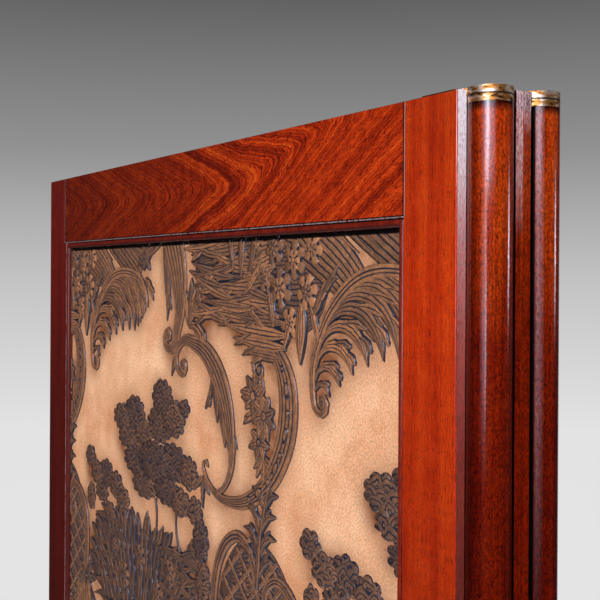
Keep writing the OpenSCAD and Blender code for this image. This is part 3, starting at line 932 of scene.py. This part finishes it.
def beadedScroll():
    # Broad C-scroll with beads in its channel, which ends in a small hook beside the other scroll
    top = (374, 80)
    coil = volute(top, (366, 94), -0.95, 3.0)[::-1]
    arm = curveThrough([top, (388, 83), (399, 98), (402, 118), (396, 142), (377, 167), (346, 185), (313, 189),
                        (293, 182), (284, 172)])
    hook = volute((284, 172), (289, 169), 0.7, 2.0)
    ribbon(np.vstack([coil, arm[1:], hook[1:]]), [3, 5, 8, 16, 23, 24, 22, 19, 15, 12, 9, 7, 5, 3],
           5, 1.1, 0.4, 0.5, True)
    boss((366, 94), 4.2, 4.6, 1, 1.2, 0.6)
    for i, share in enumerate(np.linspace(0.12, 0.66, 9)):
        spot = arm[int(share * (len(arm) - 1))]
        ahead = arm[int(share * (len(arm) - 1)) + 1] - spot
        long = 6.4 if i % 2 else 3.4
        boss(spot, long, 3.4, 1, 1.0, 0.95, -math.degrees(math.atan2(ahead[1], ahead[0])), 0.3)
    for heading, length in ((-150, 18), (-100, 24), (-60, 16)):
        leaf((284, 178), heading, length, 20, 7, 2, 0, 0.3)


def star(centre, reach, points, lift=0.4, turn=0.0, width=6.0):
    # Flower with pointed petals round a ringed boss
    for heading in np.arange(points) * 360 / points + turn:
        length = reach * (0.85 + 0.3 * dice.random())
        leaf(centre, heading, length, 12, 1.5 * width, 3, 0, lift, 0.9)
    boss(centre, reach * 0.2 + 1, reach * 0.2 + 1, 1, 1.0, lift + 0.3)


def rose(centre, reach, petals, lift=0.4, turn=0.0):
    # Open flower: round petals, a smaller row of them inside, and a boss
    boss(centre, reach, reach, 1, 0.8, lift, turn, lobes=petals, depth=0.36)
    boss(centre, reach * 0.6, reach * 0.6, 1, 0.8, lift + 0.4, turn + 180 / petals, lobes=petals, depth=0.36)
    boss(centre, reach * 0.2, reach * 0.2, 1, 0.8, lift + 0.75)


def flowerBunch():
    # Pointed flowers on a short stalk in the bowl of the beaded scroll
    ribbon(curveThrough([(362, 108), (366, 130), (372, 150), (374, 166)]), [3, 4, 4, 3], 1, 0.9, 0.2)
    for heading, length in ((150, 24), (110, 26), (200, 22), (20, 20), (60, 24), (-20, 20)):
        leaf((362, 122), heading, length, 20, 9, 2, 1, 0.2)
    star((358, 112), 18, 8, 0.35, 80, 7.0)
    star((372, 124), 17, 8, 0.5, 60, 7.0)
    star((366, 142), 15, 7, 0.65, 40, 6.5)
    for heading, length in ((-130, 20), (-70, 22), (-100, 26), (-150, 18), (-40, 16)):
        leaf((372, 150), heading, length, 16, 8, 2, 0, 0.25)


def bladeMass():
    # Bank of blades and flowers under the top edge
    field((352, 28), 84, 34, 0.3)
    field((404, 34), 44, 38, 0.3)
    ribbon(curveThrough([(392, -14), (425, 8), (462, 30), (500, 62)]), [44, 40, 34, 22], 8, 0.7, 0.05, 0.45)
    ribbon(curveThrough([(440, -34), (480, -6), (540, 30)]), [44, 40, 34], 8, 0.7, 0.02, 0.3)
    for row in range(9):
        for column in range(3):
            start = (312 + 34 * column + 20 * dice.random(), -2 + 7.5 * row + 5 * dice.random())
            leaf(start, 170 + 32 * dice.random(), 46 + 24 * dice.random(), -14, 11, 3, 1, 0.55 - 0.1 * column)
    for a, b, length, width in (
            (352, 53, 72, 9), (398, 62, 74, 10), (402, 70, 88, 12), (400, 78, 72, 11), (396, 85, 52, 9)):
        leaf((a, b), 180, length, -6, width, 3, 1, 0.6)
    for a, b, heading, length, width in (
            (330, 30, 100, 34, 10), (340, 34, 84, 40, 11), (352, 30, 68, 36, 10), (346, 44, 40, 34, 9),
            (372, 66, 150, 26, 9), (384, 66, 100, 30, 10), (430, 58, 52, 28, 9), (440, 44, 40, 26, 8)):
        leaf((a, b), heading, length, 12, width, 3, 1, 0.75)
    for a, b, reach in (
            (384, 14, 13), (409, 22, 14), (392, 40, 15), (424, 42, 13), (372, 34, 10), (431, 16, 11),
            (404, 62, 12), (362, 10, 9)):
        rose((a, b), reach, 6 if reach > 11 else 5, 0.7, 3 * a)
    for a, b, heading, length, width in (
            (418, 48, -94, 40, 14), (406, 56, -112, 26, 9), (428, 50, -66, 26, 9)):
        leaf((a, b), heading, length, 4, width, 4 if width > 10 else 2, 0, 0.8)
    for i in range(6):
        ribbon(bentPath((408 + 15 * i, -30), -42 - i, 86 - 2 * i, 14), [5, 8, 7, 4, 1], 2, 0.8, 0.35)


def field(centre, across, along, level):
    # Low oval bed with inked lines and no dark foot, under a crowded group: no ground shows through it
    widths = 2 * along * np.sqrt(np.clip(1 - np.linspace(-1, 1, 15) ** 2, 0.02, 1))
    middleLine = [(centre[0] - across, centre[1]), (centre[0] + across, centre[1])]
    ribbon(middleLine, widths, int(along / 1.7), level, 0.0, -0.4)
    place, ink, *others = ornament.pop()
    ornament.append((place, 0 * ink, *others))


def shrub(centre, across, along, lift=0.2):
    # Cloud of leaves with a scalloped outline
    lobes = int(math.pi * (across + along) / 11)
    boss(centre, across, along, 1, 0.8, lift, lobes=lobes, depth=1.6 / min(across, along) + 0.08, scaly=1.0)


def trees():
    # Scaled foliage: a large two-part crown, small ones round it, and the stems between
    for a, b, heading, turn in (
            (88, 222, -70, -40), (124, 226, -110, 50), (200, 208, -70, -50), (240, 206, -110, 60)):
        ribbon(bentPath((a, b), heading, 40, turn), [7, 4, 4, 7], 1, 0.8, 0.1)
    for a, b, across, along in (
            (132, 152, 20, 13), (158, 146, 22, 16), (176, 160, 20, 12), (144, 168, 22, 10),
            (212, 128, 20, 16), (232, 142, 22, 16), (206, 150, 24, 16), (252, 132, 10, 8),
            (160, 184, 26, 14), (196, 180, 30, 18), (232, 176, 28, 16), (260, 180, 16, 14),
            (178, 202, 26, 12), (222, 200, 26, 12), (246, 204, 18, 12), (58, 196, 13, 11),
            (74, 208, 16, 12), (96, 206, 17, 14), (86, 224, 16, 9), (60, 232, 11, 14),
            (118, 212, 16, 13), (134, 222, 15, 12), (104, 238, 14, 10), (270, 206, 14, 12),
            (280, 226, 14, 18), (284, 256, 13, 20), (268, 240, 12, 14)):
        shrub((a, b), across, along, 0.2 + 0.5 * dice.random())


def undergrowth():
    # Bank of grass: tiers of upright leaves, each in front of the one above, long blades at both sides,
    # and flowers
    field((172, 272), 102, 34, 0.3)
    field((130, 290), 72, 26, 0.3)
    for i in range(8):
        share = i / 7
        leaf((140, 246 + 66 * share), 174 + 16 * share, 84 - 30 * abs(share - 0.5), 8, 10, 3, 1, 0.4)
        leaf((206, 246 + 62 * share), 4 - 24 * share, 84 - 30 * share, -12, 10, 3, 1, 0.4)
    for i, half in enumerate((58, 78, 90, 96, 94, 86, 72, 52)):
        tier((168, 242 + 11 * i), half, 20, 55, 0.4 + 0.05 * i)
    for a, b, reach in (
            (116, 264, 11), (140, 284, 12), (172, 262, 12), (206, 284, 11), (228, 262, 12), (178, 306, 11)):
        rose((a, b), reach, 6, 1.0, a)
    shrub((46, 320), 12, 9)
    rose((52, 306), 15, 7, 0.5)
    for heading in (20, 70, 130, 200, 250, 320):
        leaf((50, 312), heading, 27, 20, 9, 2, 1, 0.2)


def cartouche():
    # Lattice shield between two rims that curl inwards, with an upright acanthus at its head
    centre, across, along = (362, 274), 56, 68
    field(centre, across, along, 0.4)
    for slope in (42, -42):
        direction = np.array([math.cos(math.radians(slope)), -math.sin(math.radians(slope))])
        normal = np.array([direction[1], -direction[0]])
        for shift in np.arange(-66, 67, 15.0):
            # a strip of the lattice ends where square * t^2 + double * t + rest = 0, just inside the oval;
            # strips shorter than 30 mm are left out
            foot = normal * shift
            scale = np.array([1 / across, 1 / along])
            square = np.sum((direction * scale) ** 2)
            double = 2 * np.sum(direction * foot * scale ** 2)
            rest = np.sum((foot * scale) ** 2) - 0.96
            inside = double ** 2 - 4 * square * rest
            if inside > (30 * square) ** 2:
                ends = [(-double + sign * math.sqrt(inside)) / (2 * square) for sign in (-1, 1)]
                chord = np.array([centre + foot + direction * e for e in ends])
                ribbon(chord, [5.6], 2, 0.55, 0.45 if slope > 0 else 0.55, 0.7)
    # studs in the openings of the lattice
    for i in range(-3, 4):
        for j in range(-3, 4):
            spot = (centre[0] + (i + j) * 10.1, centre[1] + (i - j) * 11.2 + 5)
            if ((spot[0] - centre[0]) / across) ** 2 + ((spot[1] - centre[1]) / along) ** 2 < 0.7:
                boss(spot, 2.6, 3.0, 1, 0.7, 0.3, 0, 0.8, 6)
    left = curveThrough([(362, 346), (334, 336), (311, 312), (302, 278), (305, 244), (318, 220), (337, 210),
                         (354, 217), (360, 234)])
    ribbon(np.vstack([left, volute((360, 234), (350, 238), 0.6, 3.0)[1:]]), [8, 8, 8, 9, 10, 11, 11, 9, 5, 3],
           3, 1.2, 0.5, 0.3, True)
    right = curveThrough([(362, 346), (390, 336), (413, 312), (421, 280), (418, 252), (406, 234), (390, 228),
                          (376, 236), (374, 250)])
    ribbon(np.vstack([right, volute((374, 250), (386, 250), -0.9, 3.0)[1:]]),
           [8, 8, 8, 9, 10, 10, 9, 8, 6, 3], 3, 1.2, 0.5, 0.3, True)
    boss((386, 250), 4.5, 4.5, 1, 1.2, 0.6)
    stem = curveThrough([(364, 240), (366, 222), (368, 204), (374, 184), (380, 168)])
    for i in range(4):
        root = stem[4 + 13 * i]
        for way in (1, -1):
            leaf(root, 88 - way * 16, 34 - 3 * i, -way * 96, 9, 2, 1, 0.7, 1.0, 1.6)
    ribbon(stem, [7, 8, 7, 5, 3], 2, 1.1, 0.9, 0.3)
    star((362, 346), 15, 7, 0.5, 0, 7)


for motif, low, high in (
        (bladeMass, 0.0, 1.1), (trees, -0.7, 0.0), (undergrowth, -0.8, 0.2), (flowerBunch, 0.0, 0.9),
        (leafScroll, -0.1, 0.6), (ribbedScroll, -0.1, 0.7), (sprig, 0.0, 0.8), (beadedScroll, 0.0, 0.6),
        (cartouche, -0.5, 0.3), (plume, 0.0, 1.1)):
    reliefLook["tones"] = (low, high)
    motif()
faces = sum((body[0].shape[0] - 1) * body[0].shape[1] for body in ornament)
print(f"ornament drawn: {len(ornament)} bodies, {faces} faces in a repeat")

# Laying the repeat out on the panel
repeatLook = {"across": 370.0, "down": 330.0, "drop": 185.0, "margin": 0.8}
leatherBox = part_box("leaf_1_leather")
panelWidth = (leatherBox[1][0] - leatherBox[0][0]) / mm
panelHeight = (leatherBox[1][2] - leatherBox[0][2]) / mm


def onlyUsed(quads):
    # Numbers of the points that the quads use, and the same quads counted on those points alone
    used, corners = np.unique(quads, return_inverse=True)
    return used, corners.reshape(quads.shape)


def layOut(look):
    # Half-drop repeat: every second row is moved sideways by half a repeat. What lies outside the panel
    # is left out, and what crosses its edge is held on the edge, under the bead.
    points, quads, marks, total = [], [], [], 0
    low, high = np.array([look["margin"]] * 2), np.array([panelWidth, panelHeight]) - look["margin"]
    for row in range(-1, int(panelHeight / look["down"]) + 1):
        for column in range(-2, 3):
            shift = np.array([column * look["across"] + (row % 2) * look["drop"], row * look["down"]])
            for place, *values in ornament:
                spot = place[..., :2] + shift
                if np.any(spot.max(axis=(0, 1)) < low) or np.any(spot.min(axis=(0, 1)) > high):
                    continue
                corner = numberGrid(*spot.shape[:2])
                faces = gridQuads(np.hstack([corner, corner[:, :1]]))
                flat = spot.reshape(-1, 2)
                inside = np.all((flat > low) & (flat < high), axis=1)
                points.append(np.hstack([np.clip(flat, low, high), place[..., 2].reshape(-1, 1)]))
                quads.append(faces[inside[faces].any(axis=1)] + total)
                marks.append(np.stack([value.ravel() for value in values]))
                total += corner.size
    used, quads = onlyUsed(np.vstack(quads))
    marks = np.hstack(marks)[:, used]
    return np.vstack(points)[used], quads, dict(zip(("ink", "tone", "line", "scaly"), marks))


reliefPoints, reliefQuads, reliefMarks = layOut(repeatLook)
print(f"relief of a panel: {len(reliefQuads)} faces")


def facesFront(k):
    # 1 where the front of a leaf faces -Y in the folded stack, -1 where it faces +Y
    return 1 if k in (1, 3) else -1


def onPanel(k, a, b, h):
    # Points of leaf k's panel in metres: a to the right and b down as the leaf's front is faced
    low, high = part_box(f"leaf_{k}_leather")
    front = facesFront(k)
    face = low[1] if front > 0 else high[1]
    x = (low[0] + high[0]) / 2 + front * (a - panelWidth / 2) * mm
    return np.stack([x, face - front * h * mm + 0 * x, high[2] - b * mm + 0 * x], -1)


# Leather, embossed and painted: tan ground with a fine cloth-like grain, dark inked hollows, brown ribs
leatherLook = {
    # the third colour on the next line is the painted shadow of the ornament on the ground
    "ground": "#d6976d", "groundPale": "#fac69e", "reliefShadow": "#824e2e",
    "ink": "#252734", "rib": "#7e5841", "ribWarm": "#a97350", "ribDull": "#5f463c", "bed": "#44363a",
    # half width of an inked line as a share of a rib, and how far the lines wander, in ribs
    "line": 0.18, "wobble": 0.5,
    # rows of scales in millimetres, the reach of a scale as a share of its width, and its rings
    "scale": 13.0, "scaleRow": 6.4, "scaleReach": 0.62, "scaleRings": 2.5,
    # cells of the noises, in millimetres
    "grain": 1.3, "cloud": 38.0, "rub": 5.0, "wander": 9.0, "stray": 14.0,
    # shades of the fine grain on the ground and on the ornament, and how unevenly the painted shadow lies
    "groundFleck": (0.62, 1.32), "fleck": (0.64, 1.36), "patchy": (0.35, 0.60, 0.35, 1.3),
    # roughness of the ground and of the ornament, and the strength of the grain's relief there
    "groundSurface": (0.62, 0.35), "surface": (0.29, 0.25),
    # painted shadow along the beads: where it starts and where it is full, at the top, the foot and both
    # sides
    "beadShadowTint": "#060303",
    "beadShadow": ((openTop - 9.6 * mm, openTop - 8.8 * mm), (openFoot + 8.8 * mm, openFoot + 8.0 * mm),
             (jointX - 7.5 * mm, jointX - 6.6 * mm)),
}


def scaleRings(place, look):
    # Rows of round scales like a fish's, each row behind the one below it and half a scale aside. The
    # result is the distance from the middle of the foremost scale, in rings
    x, _, z = axes(place)
    _, strayUp, _ = axes(noise(place, look["stray"], output=1))
    across = x / (look["scale"] * mm) + noise(place, look["stray"]) * 1.1
    up = z / (look["scaleRow"] * mm) + strayUp * 1.6
    row = maths("FLOOR", up)
    across = across + maths("MODULO", row, 2.0) * 0.5
    share = up - row
    away = []
    for shift, below in ((0.0, 0.0), (0.5, 1.0)):
        side = maths("FRACT", across + shift) - 0.5
        high = (share + below) * (look["scaleRow"] / look["scale"])
        away.append(maths("SQRT", side * side + high * high))
    own, lower = away
    near = own + (lower - own) * maths("LESS_THAN", lower, look["scaleReach"])
    return maths("MINIMUM", near, look["scaleReach"]) * (look["scaleRings"] / look["scaleReach"]) + 0.5


def groundPaint(place, grain, look):
    # Tan in soft clouds, with the ornament's shadow painted below and left of it
    cloud = noise(place, look["cloud"], 5.0, 0.6)
    ground = ramp(cloud, ((0.3, look["ground"]), (0.7, look["groundPale"])))
    ground = shaded(ground, spread(grain, 0.3, 0.7, *look["groundFleck"]))
    depth = attribute(place.tree, "reliefShadow") * spread(cloud, *look["patchy"])
    return painted(ground, depth, look["reliefShadow"])


def ornamentPaint(place, grain, look):
    # Browns by tone and wear, with ink on the feet and in the valleys. Smaller bodies have inked lines
    # between their ribs, where the count across passes a whole number. Gives the colour and those lines
    ink, tone, line, scaly = (attribute(place.tree, name) for name in reliefMarks)
    worn = tone * 0.35 + noise(place, look["rub"], 4.0, 0.65)
    browns = ((0.0, look["bed"]), (0.3, look["ribDull"]), (0.62, look["rib"]), (0.95, look["ribWarm"]))
    line = line + (scaleRings(place, look) - line) * scaly
    line = line + noise(place, look["wander"]) * look["wobble"] - look["wobble"] / 2
    fromMiddle = abs(maths("FRACT", line) - 0.5)
    lines = spread(fromMiddle, 0.5 - look["line"], 0.5 - 0.5 * look["line"])
    colour = painted(ramp(worn, browns), maths("MAXIMUM", spread(ink, 0.12, 0.5), lines), look["ink"])
    return shaded(colour, spread(grain, 0.3, 0.7, *look["fleck"])), lines


def leatherMaterial(name, look, raised):
    # Leather of the ornament where raised, otherwise of the ground; a painted shadow darkens it along the
    # beads
    material, tree = newMaterial(name)
    place = objectPlace(tree)
    grain = noise(place, look["grain"], 3.0, 0.6)
    rough, grainRelief = look["surface" if raised else "groundSurface"]
    if raised:
        colour, lines = ornamentPaint(place, grain, look)
        normal = bump(grain, grainRelief, 0.3 * mm, bump(lines, 0.6, 0.6 * mm, dent=True))
    else:
        colour = groundPaint(place, grain, look)
        normal = bump(grain, grainRelief, 0.3 * mm)
    x, _, z = axes(place)
    # painted shadow along the beads
    for value, (start, end) in zip((z, z, abs(x)), look["beadShadow"]):
        colour = painted(colour, spread(value, start, end), look["beadShadowTint"])
    principled(tree, {"Base Color": colour, "Roughness": rough, "IOR": 1.45, "Specular IOR Level": 0.45,
                      "Normal": normal})
    return material


groundLeather = leatherMaterial("tan leather ground", leatherLook, False)
raisedLeather = leatherMaterial("embossed painted leather", leatherLook, True)

panelLook = {
    # in millimetres: the cells of the slab's grid, and its thickness
    "cell": 8.0, "leather": 1.6,
    # height of the swell, its waves' lengths over 2 pi, and where it dies out towards the edge
    "swell": 0.12, "waves": (37, 61, 43), "calm": 30,
    # painted shadow of the ornament on the ground: its cells in millimetres, how many it is blurred over at
    # each side, the blur's width, and how far it lies below and left of the ornament
    "shadowCell": 4.0, "shadowSteps": 4, "shadowReach": 11.0, "shadowDown": 4.0, "shadowLeft": 4.0,
    "reliefs": ("upper", "middle", "lower"),
}


def reliefShadowOf(points, look):
    # Painted shadow of the ornament: how near it lies, its points counted on a coarse grid, blurred both ways
    cell = look["shadowCell"]
    shape = (int(panelHeight / cell) + 1, int(panelWidth / cell) + 1)
    panel = [[0, panelHeight], [0, panelWidth]]
    count, _, _ = np.histogram2d(points[:, 1], points[:, 0], bins=shape, range=panel)
    count = np.minimum(count, 1.0)
    steps = np.arange(-look["shadowSteps"], look["shadowSteps"] + 1) * cell
    weight = np.exp(-(steps / look["shadowReach"]) ** 2)
    weight /= weight.sum()
    for axis in (0, 1):
        count = np.apply_along_axis(np.convolve, axis, count, weight, "same")
    return count


def closedSheet(rows, columns):
    # Quads of a slab: a front grid, a back grid behind it, and a wall round the edge
    corner = numberGrid(rows, columns)
    front = gridQuads(corner)
    rim = np.r_[corner[0, :-1], corner[:-1, -1], corner[-1, :0:-1], corner[:0:-1, 0]]
    after = np.roll(rim, -1)
    wall = np.stack([rim, after, after + corner.size, rim + corner.size], -1)
    return np.vstack([front, front[:, ::-1] + corner.size, wall])


def makeLeather(k, look, reliefShadow):
    # Ground: a slab whose face swells a little; relief: the ornament in three pieces, one above the other
    b, a = np.meshgrid(np.arange(0, panelHeight, look["cell"]), np.arange(0, panelWidth, look["cell"]),
                       indexing="ij")
    a = a * panelWidth / a.max()
    b = b * panelHeight / b.max()
    edge = np.minimum(np.minimum(a, panelWidth - a), np.minimum(b, panelHeight - b))
    first, second, third = look["waves"]
    swell = look["swell"] * np.sin(a / first + 1.3 * np.sin(b / second)) * np.sin(b / third + k)
    face = onPanel(k, a, b, swell * np.clip(edge / look["calm"], 0, 1))
    rear = onPanel(k, a, b, -look["leather"] + 0 * a)
    points = np.vstack([face.reshape(-1, 3), rear.reshape(-1, 3)])
    ground = meshObject(f"leaf_{k}_leather_ground", points, closedSheet(*a.shape))
    # painted shadow of the ornament, moved below and left of it
    row = np.clip(((b - look["shadowDown"]) / look["shadowCell"]).astype(int), 0, reliefShadow.shape[0] - 1)
    column = np.clip(((a + look["shadowLeft"]) / look["shadowCell"]).astype(int), 0, reliefShadow.shape[1] - 1)
    setAttribute(ground, "reliefShadow", np.r_[reliefShadow[row, column].ravel(), np.zeros(a.size)])
    ground.data.materials.append(groundLeather)
    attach(ground, f"leaf_{k}")
    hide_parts(f"leaf_{k}_leather")
    part = np.clip(reliefPoints[reliefQuads, 1].mean(axis=1) // (panelHeight / 3), 0, 2)
    for i, name in enumerate(look["reliefs"]):
        used, quads = onlyUsed(reliefQuads[part == i])
        relief = meshObject(f"leaf_{k}_leather_{name}_relief", onPanel(k, *reliefPoints[used].T), quads)
        for mark, values in reliefMarks.items():
            setAttribute(relief, mark, values[used])
        relief.data.materials.append(raisedLeather)
        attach(relief, f"leaf_{k}")
        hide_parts(f"leaf_{k}_leather")


panelShadow = reliefShadowOf(reliefPoints, panelLook)
for k in leaves:
    makeLeather(k, panelLook, panelShadow)
print("leather laid")


# Lining: plain woven cotton, dull dark red, glued flat to the back of the board
liningLook = {
    "light": "#6f2a20", "dark": "#4a1812",
    "thread": 0.9,  # the waves' length over 2 pi, in millimetres
    "wear": 90.0,  # cell of the worn patches, in millimetres
    "grid": (12, 36),  # points across and up
}


def liningMaterial(look):
    # Warp and weft as two waves at right angles; drawn coarser than real thread so that it shows
    material, tree = newMaterial("woven cotton lining")
    place = objectPlace(tree)
    # the texture node has 20 radians to a unit at scale 1
    thread = {"Scale": 1000 / look["thread"] / 20, "Distortion": 0.6, "Detail": 1.0, "Vector": place}
    warp, weft = (made(tree, "TexWave", {"bands_direction": axis, **thread}, "Fac") for axis in ("X", "Z"))
    weave = warp * weft
    worn = weave * 0.6 + noise(place, look["wear"], 4.0)
    principled(tree, {
        "Base Color": ramp(worn, ((0.4, look["dark"]), (0.9, look["light"]))), "Roughness": 0.9,
        "Specular IOR Level": 0.2, "Sheen Weight": 0.25, "Sheen Roughness": 0.5,
        "Normal": bump(weave, 0.5, 0.3 * mm),
    })
    return material


liningCloth = liningMaterial(liningLook)


def makeLining(k, look):
    # Thin closed sheet in the place of the lining's solid
    low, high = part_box(f"leaf_{k}_lining")
    columns, rows = look["grid"]
    x, z = np.meshgrid(np.linspace(low[0], high[0], columns), np.linspace(low[2], high[2], rows))
    faces = [np.stack([x, np.full_like(x, y), z], -1).reshape(-1, 3) for y in (high[1], low[1])]
    quads = closedSheet(*x.shape)
    if facesFront(k) < 0:
        faces = faces[::-1]
        quads = quads[:, ::-1]
    cloth = meshObject(f"leaf_{k}_lining_cloth", np.vstack(faces), quads)
    cloth.data.materials.append(liningCloth)
    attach(cloth, f"leaf_{k}")
    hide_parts(f"leaf_{k}_lining")


for k in leaves:
    makeLining(k, liningLook)
print("lining laid")

scene.view_settings.view_transform = "Standard"
